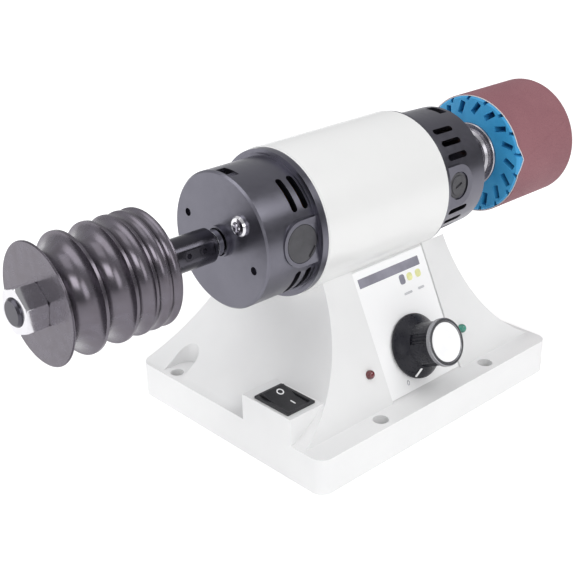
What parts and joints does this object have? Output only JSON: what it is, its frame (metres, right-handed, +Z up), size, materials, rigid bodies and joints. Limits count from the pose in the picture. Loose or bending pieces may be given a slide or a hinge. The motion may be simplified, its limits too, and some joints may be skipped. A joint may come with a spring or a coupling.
{
  "type": "bench burnishing and sanding machine",
  "caption": "Bench machine with a motor spindle that turns a grooved burnishing drum at one end and a sanding sleeve on a rubber wheel at the other, with a speed knob and rocker switch.",
  "frame": {"origin": "centre of the base's underside", "axes": "+X along the spindle towards the sanding sleeve, -Y is the control panel's side, +Z up"},
  "size_m": [0.448, 0.1809, 0.1825],
  "materials": {
    "white_casting": "satin",
    "barrel_paint": "gloss",
    "bell_black": "satin",
    "label_white": "gloss",
    "red_lens": "gloss",
    "green_lens": "gloss",
    "switch_black": "satin",
    "knob_black": "gloss",
    "chrome": "polished",
    "silver_cap": "satin",
    "pointer_white": "matte",
    "zinc_steel": "satin",
    "bearing_steel": "polished",
    "black_steel": "satin",
    "core_steel": "matte",
    "magnet": "matte",
    "copper": "satin",
    "brass": "satin",
    "carbon": "matte",
    "board_green": "satin",
    "nylon": "matte",
    "capacitor_sleeve": "gloss",
    "bare_aluminium": "satin",
    "black_nylon": "satin",
    "drum_ebony": "satin",
    "blue_rubber": "matte",
    "abrasive": "matte"
  },
  "bodies": {
    "base": {"base_housing": "white_casting", "bottom_cover": "zinc_steel", "cover_screws": "zinc_steel", "control_panel": "label_white", "red_led": "red_lens", "green_led": "green_lens", "switch_frame": "switch_black", "switch_terminals": "brass", "speed_potentiometer": "zinc_steel", "potentiometer_nut": "zinc_steel", "speed_board": "board_green", "board_standoffs": "nylon", "board_capacitor": "capacitor_sleeve", "board_heatsink": "bare_aluminium", "cable_gland": "black_nylon", "gland_locknut": "black_nylon", "motor_barrel": "barrel_paint", "barrel_screws": "zinc_steel", "field_magnets": "magnet", "left_bell": "bell_black", "right_bell": "bell_black", "left_bell_plugs": "black_nylon", "bell_face_screw": "chrome", "tie_bolts": "zinc_steel", "tie_nuts": "zinc_steel", "left_bearing_outer": "bearing_steel", "right_bearing_outer": "bearing_steel", "brush_holders": "brass", "carbon_brushes": "carbon", "brush_springs": "bearing_steel", "brush_caps": "black_nylon"},
    "spindle": {"left_bearing_inner": "bearing_steel", "right_bearing_inner": "bearing_steel", "bearing_balls": "bearing_steel", "motor_shaft": "bearing_steel", "armature_core": "core_steel", "armature_windings": "copper", "commutator": "copper", "cooling_fan": "black_nylon", "left_arbor": "black_steel", "left_set_screws": "black_steel", "burnishing_drum": "drum_ebony", "drum_nut": "chrome", "right_arbor": "zinc_steel", "right_set_screws": "black_steel", "wheel_core": "bare_aluminium", "expander_wheel": "blue_rubber", "sanding_sleeve": "abrasive", "outer_flange": "zinc_steel", "wheel_nut": "chrome"},
    "speed_knob": {"speed_knob": "knob_black", "knob_bezel": "chrome", "knob_cap": "silver_cap", "knob_pointer": "pointer_white", "potentiometer_shaft": "zinc_steel"},
    "rocker": {"switch_rocker": "switch_black"}
  },
  "joints": [
    {"name": "spindle_spin", "type": "hinge", "parent": "base", "child": "spindle", "pos_m": [0, 0, 0.1355], "axis": [1, 0, 0], "continuous": true},
    {"name": "speed_knob_turn", "type": "hinge", "parent": "base", "child": "speed_knob", "pos_m": [0.001, -0.05958, 0.04827], "axis": [0, 0.9026, -0.4305], "range_deg": [0, 300]},
    {"name": "rocker_tilt", "type": "hinge", "parent": "base", "child": "rocker", "pos_m": [-0.098, -0.0425, 0.0381], "axis": [1, 0, 0], "range_deg": [-22, 0]}
  ]
}
